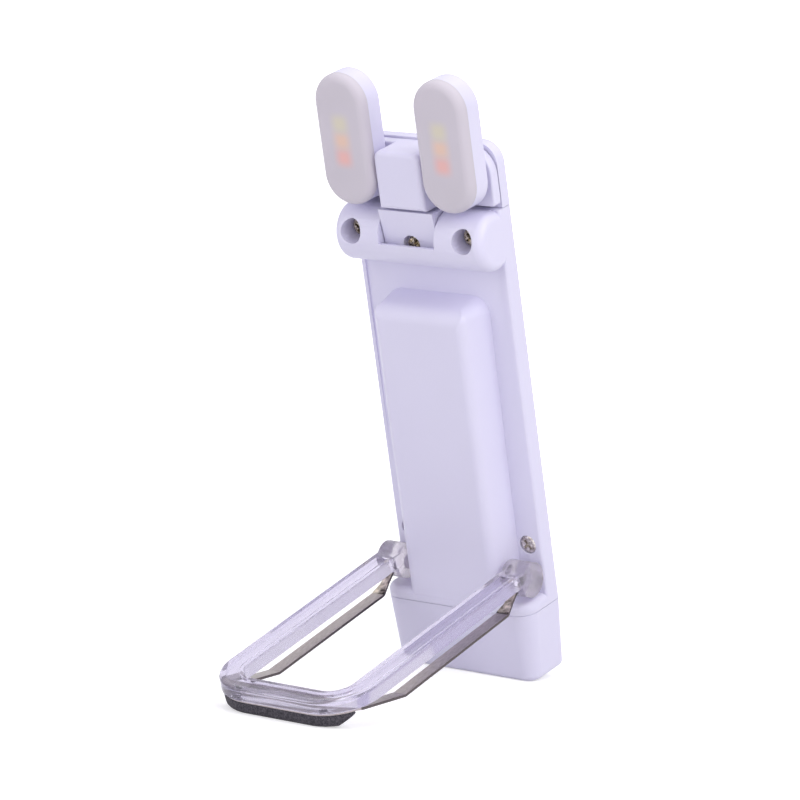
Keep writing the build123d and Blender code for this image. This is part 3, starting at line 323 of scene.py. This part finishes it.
def screw_tree():
    """Geometry Nodes: a screw at each point, its head along the given tilt, its cross turned at random."""
    tree = bpy.data.node_groups.new("cross_head_screws", "GeometryNodeTree")
    sockets = tree.interface
    sockets.new_socket("Geometry", in_out="INPUT", socket_type="NodeSocketGeometry")
    for label in ("Head Radius", "Head Height", "Edge Round", "Recess Span", "Recess Slot",
                  "Recess Depth", "Shank Radius", "Shank Length", "Tilt"):
        sockets.new_socket(label, in_out="INPUT", socket_type="NodeSocketFloat")
    sockets.new_socket("Finish", in_out="INPUT", socket_type="NodeSocketMaterial")
    sockets.new_socket("Geometry", in_out="OUTPUT", socket_type="NodeSocketGeometry")
    given = add_node(tree, "NodeGroupInput").outputs

    # the head: a disc drawn up, with a rounded edge, and a flat underside
    straight = add_node(tree, "ShaderNodeMath", {"operation": "SUBTRACT"},
                        {0: given["Head Height"], 1: given["Edge Round"]}).outputs[0]
    half_round = add_node(tree, "ShaderNodeMath", {"operation": "MULTIPLY"},
                          {0: given["Edge Round"], 1: 0.5}).outputs[0]
    shrink = add_node(tree, "ShaderNodeMath", {"operation": "DIVIDE"},
                      {0: half_round, 1: given["Head Radius"]}).outputs[0]
    disc = add_node(tree, "GeometryNodeMeshCircle", {"fill_type": "NGON"},
                    {"Vertices": HEAD_SIDES, "Radius": given["Head Radius"]}).outputs["Mesh"]
    wall = add_node(tree, "GeometryNodeExtrudeMesh", {"mode": "FACES"},
                    {"Mesh": disc, "Offset Scale": straight})
    mesh = wall.outputs["Mesh"]
    top = wall.outputs["Top"]
    for ring_step in RING_STEPS:
        drawn_in = add_node(tree, "ShaderNodeMath", {"operation": "MULTIPLY"},
                            {0: shrink, 1: ring_step}).outputs[0]
        scale = add_node(tree, "ShaderNodeMath", {"operation": "SUBTRACT"},
                         {0: 1.0, 1: drawn_in}).outputs[0]
        ring = add_node(tree, "GeometryNodeExtrudeMesh", {"mode": "FACES"},
                        {"Mesh": mesh, "Selection": top, "Offset Scale": half_round})
        top = ring.outputs["Top"]
        mesh = add_node(tree, "GeometryNodeScaleElements", {"domain": "FACE"},
                        {"Geometry": ring.outputs["Mesh"], "Selection": top,
                         "Scale": scale}).outputs["Geometry"]
    under = add_node(tree, "GeometryNodeMeshCircle", {"fill_type": "NGON"},
                     {"Vertices": HEAD_SIDES, "Radius": given["Head Radius"]}).outputs["Mesh"]
    flipped = add_node(tree, "GeometryNodeFlipFaces", None, {"Mesh": under}).outputs["Mesh"]
    joined = add_node(tree, "GeometryNodeJoinGeometry")
    for part in (mesh, flipped):
        tree.links.new(part, joined.inputs["Geometry"])
    head = add_node(tree, "GeometryNodeMergeByDistance", None,
                    {"Geometry": joined.outputs["Geometry"], "Distance": SEAM_MM * MM}).outputs["Geometry"]

    # the cross recess: two slots pressed into the top
    double_depth = add_node(tree, "ShaderNodeMath", {"operation": "MULTIPLY"},
                            {0: given["Recess Depth"], 1: 2.0}).outputs[0]
    on_top = add_node(tree, "ShaderNodeCombineXYZ", None, {"Z": given["Head Height"]}).outputs["Vector"]
    cross = add_node(tree, "GeometryNodeMeshBoolean", {"operation": "UNION"})
    for across, along in (("Recess Span", "Recess Slot"), ("Recess Slot", "Recess Span")):
        size = add_node(tree, "ShaderNodeCombineXYZ", None,
                        {"X": given[across], "Y": given[along], "Z": double_depth}).outputs["Vector"]
        slot = add_node(tree, "GeometryNodeMeshCube", None, {"Size": size}).outputs["Mesh"]
        raised = add_node(tree, "GeometryNodeTransform", None,
                          {"Geometry": slot, "Translation": on_top}).outputs["Geometry"]
        tree.links.new(raised, cross.inputs["Mesh 2"])
    cut = add_node(tree, "GeometryNodeMeshBoolean", {"operation": "DIFFERENCE"},
                   {"Mesh 1": head, "Mesh 2": cross.outputs["Mesh"]}).outputs["Mesh"]

    # the shank below the head, and the whole screw at each point
    shank = add_node(tree, "GeometryNodeMeshCylinder", None,
                     {"Vertices": SHANK_SIDES, "Radius": given["Shank Radius"],
                      "Depth": given["Shank Length"]}).outputs["Mesh"]
    down = add_node(tree, "ShaderNodeMath", {"operation": "MULTIPLY"},
                    {0: given["Shank Length"], 1: -0.5}).outputs[0]
    low = add_node(tree, "ShaderNodeCombineXYZ", None, {"Z": down}).outputs["Vector"]
    lowered = add_node(tree, "GeometryNodeTransform", None,
                       {"Geometry": shank, "Translation": low}).outputs["Geometry"]
    screw = add_node(tree, "GeometryNodeJoinGeometry")
    for part in (cut, lowered):
        tree.links.new(part, screw.inputs["Geometry"])
    aim = add_node(tree, "ShaderNodeCombineXYZ", None, {"X": given["Tilt"]}).outputs["Vector"]
    placed = add_node(tree, "GeometryNodeInstanceOnPoints", None, {
        "Points": given["Geometry"], "Instance": screw.outputs["Geometry"], "Rotation": aim})
    spin = add_node(tree, "FunctionNodeRandomValue", {"data_type": "FLOAT"},
                    {"Min": 0.0, "Max": math.pi / 2, "Seed": CROSS_TURN_SEED})
    cross_turn = add_node(tree, "ShaderNodeCombineXYZ", None, {"Z": spin.outputs["Value"]})
    turned = add_node(tree, "GeometryNodeRotateInstances", None, {
        "Instances": placed.outputs["Instances"], "Rotation": cross_turn.outputs["Vector"],
        "Local Space": True})
    real = add_node(tree, "GeometryNodeRealizeInstances", None, {"Geometry": turned.outputs["Instances"]})
    dressed = add_node(tree, "GeometryNodeSetMaterial", None,
                       {"Geometry": real.outputs["Geometry"], "Material": given["Finish"]})
    add_node(tree, "NodeGroupOutput", None, {"Geometry": dressed.outputs["Geometry"]})
    return tree


cross_head_screws = screw_tree()
FORWARD = math.radians(90) + LEAN
BACKWARD = LEAN - math.radians(90)


def drive_screws(name, body, node, seats, tilt, finish, sizes):
    """Screws with their heads' undersides at these places of the body, as one mesh."""
    points = bpy.data.meshes.new(name)
    points.from_pydata([body_place @ (Vector(seat) * MM) for seat in seats], [], [])
    piece = bpy.data.objects.new(name, points)
    bpy.context.scene.collection.objects.link(piece)
    made = piece.modifiers.new("screws", "NODES")
    made.node_group = cross_head_screws
    named = {item.name: item.identifier for item in cross_head_screws.interface.items_tree
             if item.in_out == "INPUT"}
    for label, size in sizes.items():
        made[named[label]] = size * MM
    made[named["Tilt"]] = tilt
    made[named["Finish"]] = finish
    ready = piece.evaluated_get(bpy.context.evaluated_depsgraph_get())
    piece.data = bpy.data.meshes.new_from_object(ready)
    piece.modifiers.clear()
    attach(piece, body)
    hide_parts(node)


BAR_SCREW = {"Head Radius": 1.8, "Head Height": 1.1, "Edge Round": 0.45, "Recess Span": 2.1,
             "Recess Slot": 0.5, "Recess Depth": 0.6, "Shank Radius": 0.85, "Shank Length": 5.8}
SHELL_SCREW = {"Head Radius": 1.7, "Head Height": 0.8, "Edge Round": 0.3, "Recess Span": 2.1,
               "Recess Slot": 0.5, "Recess Depth": 0.6, "Shank Radius": 0.7, "Shank Length": 2.05}
NECK_SCREW = SHELL_SCREW | {"Head Radius": 1.5, "Shank Length": 0.8}
LAMP_SCREW = SHELL_SCREW | {"Head Radius": 2.1, "Head Height": 0.6, "Edge Round": 0.15,
                            "Recess Depth": 0.3, "Shank Length": 2.2}
BAR_SEAT = (12.4, -2.8, 86.0)
SHELL_SEAT = (13.5, 0.95, 25.2)
NECK_SEAT = (0.0, -3.6, 84.0)
LAMP_SEAT = (LAMP_X, 0.1, 96.8)
drive_screws("hinge_bar_screws", "case", "bar_screws",
             [(side * BAR_SEAT[0], *BAR_SEAT[1:]) for side in SIDES.values()],
             FORWARD, warm_painted_reflection_nickel, BAR_SCREW)
drive_screws("ear_side_screws", "case", "shell_screws",
             [(side * SHELL_SEAT[0], *SHELL_SEAT[1:]) for side in SIDES.values()],
             FORWARD, pale_painted_reflection_nickel, SHELL_SCREW)
drive_screws("neck_cross_screw", "head", "neck_screw", [NECK_SEAT], FORWARD, warm_painted_reflection_nickel, NECK_SCREW)
for side_name, side in SIDES.items():
    drive_screws(side_name + "_pivot_screw", side_name + "_lamp", side_name + "_lamp_screw",
                 [(side * LAMP_SEAT[0], *LAMP_SEAT[1:])], BACKWARD, pale_painted_reflection_nickel, LAMP_SCREW)

# Clip frame: one clear moulding with ears, trunnions and a groove round its upper side.
# Injection-moulded polycarbonate with a slight violet cast. It is glossy along the arms, where the
# flow leaves fine lines lengthwise, and cloudy in the thick ears.
CLIP_DROP = math.radians(3.2)
CLIP_EDGE_MM = 0.15
# flow lines are near 0.3 mm apart and run for centimetres; they are drawn 0.4 mm apart across an arm
FLOW_PER_MM = (2.6, 0.01, 0.5)
FLOW_RELIEF = 0.08
# the arm turns into the ear between these two places along it
EAR_STARTS_Y = -5.5
EAR_FULL_Y = -2.0
EAR_CLOUDS_PER_MM = 2.6
clip_place = body_place @ Matrix.Translation(PIVOT_IN_BODY) @ Matrix.Rotation(CLIP_DROP, 4, "X")
to_clip = clip_place.inverted()
clear_pc = new_material("polycarbonate_clear")
clip_where = laid_out(clear_pc, clip_place)
along_arms = add_node(clear_pc, "ShaderNodeMapping", {"vector_type": "POINT"},
                      {"Vector": clip_where, "Scale": FLOW_PER_MM})
flow = add_node(clear_pc, "ShaderNodeTexNoise", None,
                {"Vector": along_arms.outputs["Vector"], "Scale": 1.0, "Detail": 1.0, "Roughness": 0.5})
clip_parts = add_node(clear_pc, "ShaderNodeSeparateXYZ", None, {"Vector": clip_where})
ear_share = add_node(clear_pc, "ShaderNodeMapRange", {"interpolation_type": "SMOOTHSTEP"},
                     {"Value": clip_parts.outputs["Y"], "From Min": EAR_STARTS_Y,
                      "From Max": EAR_FULL_Y, "To Min": 0.0, "To Max": 1.0})
cloud = add_node(clear_pc, "ShaderNodeTexNoise", None,
                 {"Vector": clip_where, "Scale": EAR_CLOUDS_PER_MM, "Detail": 4.0, "Roughness": 0.7})
faint_flow = add_node(clear_pc, "ShaderNodeMath", {"operation": "MULTIPLY"},
                      {0: flow.outputs["Fac"], 1: FLOW_RELIEF})
relief = add_node(clear_pc, "ShaderNodeMix", {"data_type": "FLOAT"},
                  {"Factor": ear_share.outputs["Result"], "A": faint_flow.outputs[0],
                   "B": cloud.outputs["Fac"]})
clear_bump = add_node(clear_pc, "ShaderNodeBump", None,
                      {"Height": relief.outputs["Result"], "Strength": 0.6, "Distance": 0.10 * MM})
arm_tone = add_node(clear_pc, "ShaderNodeMix", {"data_type": "RGBA"},
                    {"Factor": flow.outputs["Fac"], "A": linear("E7E3F2"), "B": linear("CFC9DF")})
cloud_share = add_node(clear_pc, "ShaderNodeMapRange", None,
                       {"Value": cloud.outputs["Fac"], "From Min": 0.35, "From Max": 0.65})
ear_tone = add_node(clear_pc, "ShaderNodeMix", {"data_type": "RGBA"},
                    {"Factor": cloud_share.outputs["Result"], "A": linear("F4F1F8"),
                     "B": linear("C4BBC9")})
clear_tone = add_node(clear_pc, "ShaderNodeMix", {"data_type": "RGBA"},
                      {"Factor": ear_share.outputs["Result"], "A": arm_tone.outputs["Result"],
                       "B": ear_tone.outputs["Result"]})
clear_rough = add_node(clear_pc, "ShaderNodeMapRange", None,
                       {"Value": ear_share.outputs["Result"], "To Min": 0.05, "To Max": 0.13})
clearness = add_node(clear_pc, "ShaderNodeMapRange", None,
                     {"Value": ear_share.outputs["Result"], "To Min": 0.84, "To Max": 0.80})
surface(clear_pc, {
    "Base Color": clear_tone.outputs["Result"],
    "Roughness": clear_rough.outputs["Result"],
    # the plastic's own is near 1.58; matched lower to the look of the real arms
    "IOR": 1.33,
    "Transmission Weight": clearness.outputs["Result"],
    "Normal": clear_bump.outputs["Normal"],
})
soften(dress("clip_frame", clear_pc), CLIP_EDGE_MM)

# Steel strip: spring steel, nickel-plated and bent cold, that snaps the clip open and shut.
# Rolled along its length, so fine lines run that way. Its sheared edges are duller, and its folds at
# the heel carry broad dark and pale patches of painted reflection.
STRIP_EDGE_MM = 0.04
STRIP_EDGE_DEG = 12
# rolling lines are near 0.05 mm apart; they are drawn at 0.25 mm so that they can show
ROLLING_PER_MM = (4.0, 0.8, 4.0)
SHEARED_SLOT = 1
FOLD_SLOT = 2
# the sheared edges look sideways by at least this much; the folds start past this place along the clip
FACES_SIDEWAYS = 0.9
HEEL_Y = -7.6
# its bends are sharp folds, so each flat keeps its own tone
FOLD_DEG = 8
strip_steel = new_material("spring_steel_nickel_plated")
along_strip = add_node(strip_steel, "ShaderNodeMapping", {"vector_type": "POINT"},
                       {"Vector": laid_out(strip_steel, clip_place), "Scale": ROLLING_PER_MM})
rolling = add_node(strip_steel, "ShaderNodeTexNoise", None,
                   {"Vector": along_strip.outputs["Vector"], "Scale": 1.0, "Detail": 3.0, "Roughness": 0.6})
strip_tone = add_node(strip_steel, "ShaderNodeMix", {"data_type": "RGBA"},
                      {"Factor": rolling.outputs["Fac"], "A": linear("CFC6C8"), "B": linear("7C7274")})
strip_bump = add_node(strip_steel, "ShaderNodeBump", None,
                      {"Height": rolling.outputs["Fac"], "Strength": 0.4, "Distance": 0.04 * MM})
surface(strip_steel, {
    "Base Color": strip_tone.outputs["Result"],
    "Metallic": 1.0,
    "Roughness": 0.34,
    "Normal": strip_bump.outputs["Normal"],
})
sheared_edge = plain_mottle("spring_steel_sheared_edge", "6A6264", "4C4648", 2500,
                            {"Metallic": 1.0, "Roughness": 0.45})
# painted reflections on the heel's folds: broad dark and pale patches of colour
fold_painted_reflections = nickel_painted_reflections("spring_steel_fold_painted_reflections", "3E3834", "E9DDCE", 0.42)
strip = dress("clip_spring", strip_steel)
strip.data.materials.append(sheared_edge)
strip.data.materials.append(fold_painted_reflections)
for face in strip.data.polygons:
    if abs(face.normal.x) > FACES_SIDEWAYS:
        face.material_index = SHEARED_SLOT
    elif (to_clip @ face.center).y > HEEL_Y * MM:
        face.material_index = FOLD_SLOT
strip.data.set_sharp_from_angle(angle=math.radians(FOLD_DEG))
soften(strip, STRIP_EDGE_MM, STRIP_EDGE_DEG)

# Pad: closed-cell foam rubber, die-cut to the tip's outline and glued under the steel plate.
# Dark grey with fine pale cells; it grips a cover, and is the foot when the light stands. Its sides
# swell a little under the light's weight, and its cut faces are finely pitted.
PAD_TOP = -0.5
PAD_FOOT = -2.85
PAD_SWELL = 0.10
PAD_PIT = 0.035
PIT_MM = 0.45
# the pits fade out towards the glued top by this power of the height
PIT_FADE = 6
# the lowest part is painted paler between these heights over the foot, a painted highlight along its bottom
# edge
PAINTED_HIGHLIGHT_FROM = 0.5
PAINTED_HIGHLIGHT_FULL = 0.1
PAD_VOXEL_MM = 0.17
PAD_SMOOTHINGS = 3
# cells are near 0.1 mm; they are drawn at 0.22 mm so that they can show, and pale specks at 0.3 mm
CELLS_PER_MM = 4.5
SPECKS_PER_MM = 3.4
foam = new_material("foam_rubber_dark_grey")
foam_where = laid_out(foam, clip_place)
cells = add_node(foam, "ShaderNodeTexVoronoi", {"feature": "F1"},
                 {"Vector": foam_where, "Scale": CELLS_PER_MM})
specks = add_node(foam, "ShaderNodeTexNoise", None,
                  {"Vector": foam_where, "Scale": SPECKS_PER_MM, "Detail": 4.0, "Roughness": 0.75})
speck_tone = add_node(foam, "ShaderNodeValToRGB", None, {"Fac": specks.outputs["Fac"]})
speck_tone.color_ramp.elements[0].position = 0.42
speck_tone.color_ramp.elements[0].color = linear("2B2830")
speck_tone.color_ramp.elements[1].position = 0.72
speck_tone.color_ramp.elements[1].color = linear("6E6A72")
pad_height = add_node(foam, "ShaderNodeSeparateXYZ", None, {"Vector": foam_where})
# painted highlight: the pad turns paler over its lowest part
painted_highlight = add_node(foam, "ShaderNodeMapRange", {"interpolation_type": "SMOOTHSTEP"},
                  {"Value": pad_height.outputs["Z"], "From Min": PAD_FOOT + PAINTED_HIGHLIGHT_FROM,
                   "From Max": PAD_FOOT + PAINTED_HIGHLIGHT_FULL, "To Min": 0.0, "To Max": 0.75})
foam_tone = add_node(foam, "ShaderNodeMix", {"data_type": "RGBA"},
                     {"Factor": painted_highlight.outputs["Result"], "A": speck_tone.outputs["Color"],
                      "B": linear("7C787F")})
foam_bump = add_node(foam, "ShaderNodeBump", None,
                     {"Height": cells.outputs["Distance"], "Strength": 0.5, "Distance": 0.06 * MM})
surface(foam, {
    "Base Color": foam_tone.outputs["Result"],
    "Roughness": 0.85,
    "Normal": foam_bump.outputs["Normal"],
})
pad = bpy.data.objects.new("foam_grip_pad", nodes["grip_pad"].data.copy())
bpy.context.scene.collection.objects.link(pad)
pad_weld = pad.modifiers.new("weld", "WELD")
pad_weld.merge_threshold = WELD_MM * MM
pad_skin = pad.modifiers.new("even skin", "REMESH")
pad_skin.mode = "VOXEL"
pad_skin.voxel_size = PAD_VOXEL_MM * MM
pad_smooth = pad.modifiers.new("soft edges", "SMOOTH")
pad_smooth.iterations = PAD_SMOOTHINGS
pad.data = bpy.data.meshes.new_from_object(pad.evaluated_get(bpy.context.evaluated_depsgraph_get()))
pad.modifiers.clear()
normals = [vertex.normal.copy() for vertex in pad.data.vertices]
for vertex, outward in zip(pad.data.vertices, normals):
    height = ((to_clip @ vertex.co).z / MM - PAD_FOOT) / (PAD_TOP - PAD_FOOT)
    share = max(0.0, min(1.0, height))
    swell = PAD_SWELL * math.sin(math.pi * share)
    pit = PAD_PIT * min(0.0, noise.noise(vertex.co / (PIT_MM * MM))) * (1.0 - share ** PIT_FADE)
    vertex.co += outward * (swell + pit) * MM
pad.data.materials.clear()
pad.data.materials.append(foam)
pad.data.shade_smooth()
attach(pad, "clip")
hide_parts("grip_pad")

# Floor and backdrop: plain and pale, painted white. The camera, metal and clear plastic see them as
# white, fully so away from the light, and the light's own soft shadow stays on the floor.
FLOOR_SIZE = 6.0
NEAR_MIDDLE = 0.06
AWAY = 0.35
SEEN_NEAR = 0.5
SEEN_AWAY = 1.0
WHITE = (1, 1, 1, 1)
ROOM_STRENGTH = 0.575


def background_rays(owner):
    """1 for the rays that show the pale background: camera, glossy and transmission rays."""
    ray = add_node(owner, "ShaderNodeLightPath")
    clear = add_node(owner, "ShaderNodeMath", {"operation": "MAXIMUM"},
                     {0: ray.outputs["Is Transmission Ray"], 1: ray.outputs["Is Glossy Ray"]})
    either = add_node(owner, "ShaderNodeMath", {"operation": "MAXIMUM"},
                      {0: ray.outputs["Is Camera Ray"], 1: clear.outputs[0]})
    return either.outputs[0]


bpy.ops.mesh.primitive_plane_add(size=FLOOR_SIZE, location=(0, 0, 0))
floor = bpy.context.object
floor.name = "floor"
floor_paint = new_material("floor_pale")
floor_where = add_node(floor_paint, "ShaderNodeTexCoord").outputs["Object"]
from_middle = add_node(floor_paint, "ShaderNodeVectorMath", {"operation": "LENGTH"}, {0: floor_where})
away_white = add_node(floor_paint, "ShaderNodeMapRange", {"interpolation_type": "SMOOTHSTEP"},
                      {"Value": from_middle.outputs["Value"], "From Min": NEAR_MIDDLE, "From Max": AWAY,
                       "To Min": SEEN_NEAR, "To Max": SEEN_AWAY})
floor_diffuse = add_node(floor_paint, "ShaderNodeBsdfDiffuse", None, {"Color": linear("E2E2E2")})
floor_lit = add_node(floor_paint, "ShaderNodeEmission", None,
                     {"Color": WHITE, "Strength": away_white.outputs["Result"]})
floor_seen = add_node(floor_paint, "ShaderNodeAddShader", None,
                      {0: floor_diffuse.outputs["BSDF"], 1: floor_lit.outputs["Emission"]})
floor_mix = add_node(floor_paint, "ShaderNodeMixShader", None,
                     {"Fac": background_rays(floor_paint), 1: floor_diffuse.outputs["BSDF"],
                      2: floor_seen.outputs["Shader"]})
add_node(floor_paint, "ShaderNodeOutputMaterial", None, {"Surface": floor_mix.outputs["Shader"]})
floor.data.materials.append(floor_paint)

world = bpy.data.worlds.new("studio")
bpy.context.scene.world = world
world.use_nodes = True
world.node_tree.nodes.clear()
room_light = add_node(world, "ShaderNodeBackground", None,
                      {"Color": linear("E9E6F2"), "Strength": ROOM_STRENGTH})
room_seen = add_node(world, "ShaderNodeBackground", None, {"Color": WHITE, "Strength": 1.0})
room_mix = add_node(world, "ShaderNodeMixShader", None,
                    {"Fac": background_rays(world), 1: room_light.outputs["Background"],
                     2: room_seen.outputs["Background"]})
add_node(world, "ShaderNodeOutputWorld", None, {"Surface": room_mix.outputs["Shader"]})

# Softboxes: square cloth boxes, all aimed at the middle of the light.
# A key from the right and above, a top box over the head, and a weaker fill from the front left.
MIDDLE = Vector((0, 0, 0.055))
SOFTBOXES = (("key", (0.75, -0.15, 0.55), 0.6, 3.7),
             ("top", (0.05, 0.05, 0.85), 0.7, 2.4),
             ("fill", (-0.3, -0.95, 0.4), 0.8, 2.7))
for name, place, size, watts in SOFTBOXES:
    lamp = bpy.data.lights.new(name, "AREA")
    lamp.shape = "SQUARE"
    lamp.size = size
    lamp.energy = watts
    box = bpy.data.objects.new(name, lamp)
    bpy.context.scene.collection.objects.link(box)
    box.location = place
    box.rotation_euler = (MIDDLE - Vector(place)).to_track_quat("-Z", "Y").to_euler()

# Camera: as the photograph was taken, from the front right, a little above the table.
# A long lens from three quarters of a metre away, rolled by just over a degree.
AZIMUTH = math.radians(36.48)
ELEVATION = math.radians(8.142)
ROLL = math.radians(1.346)
DISTANCE = 0.7614
AIM = Vector((0.001596, 0.0, 0.053783))
SENSOR_MM = 36
LENS_MM = 190.6
camera_data = bpy.data.cameras.new("camera")
camera_data.sensor_width = SENSOR_MM
camera_data.lens = LENS_MM
camera = bpy.data.objects.new("camera", camera_data)
bpy.context.scene.collection.objects.link(camera)
away = Vector((math.sin(AZIMUTH) * math.cos(ELEVATION), -math.cos(AZIMUTH) * math.cos(ELEVATION),
               math.sin(ELEVATION)))
camera.location = AIM + away * DISTANCE
turn = (-away).to_track_quat("-Z", "Y").to_matrix().to_4x4() @ Matrix.Rotation(ROLL, 4, "Z")
camera.rotation_euler = turn.to_euler()
bpy.context.scene.camera = camera

bpy.context.scene.view_settings.view_transform = "Standard"
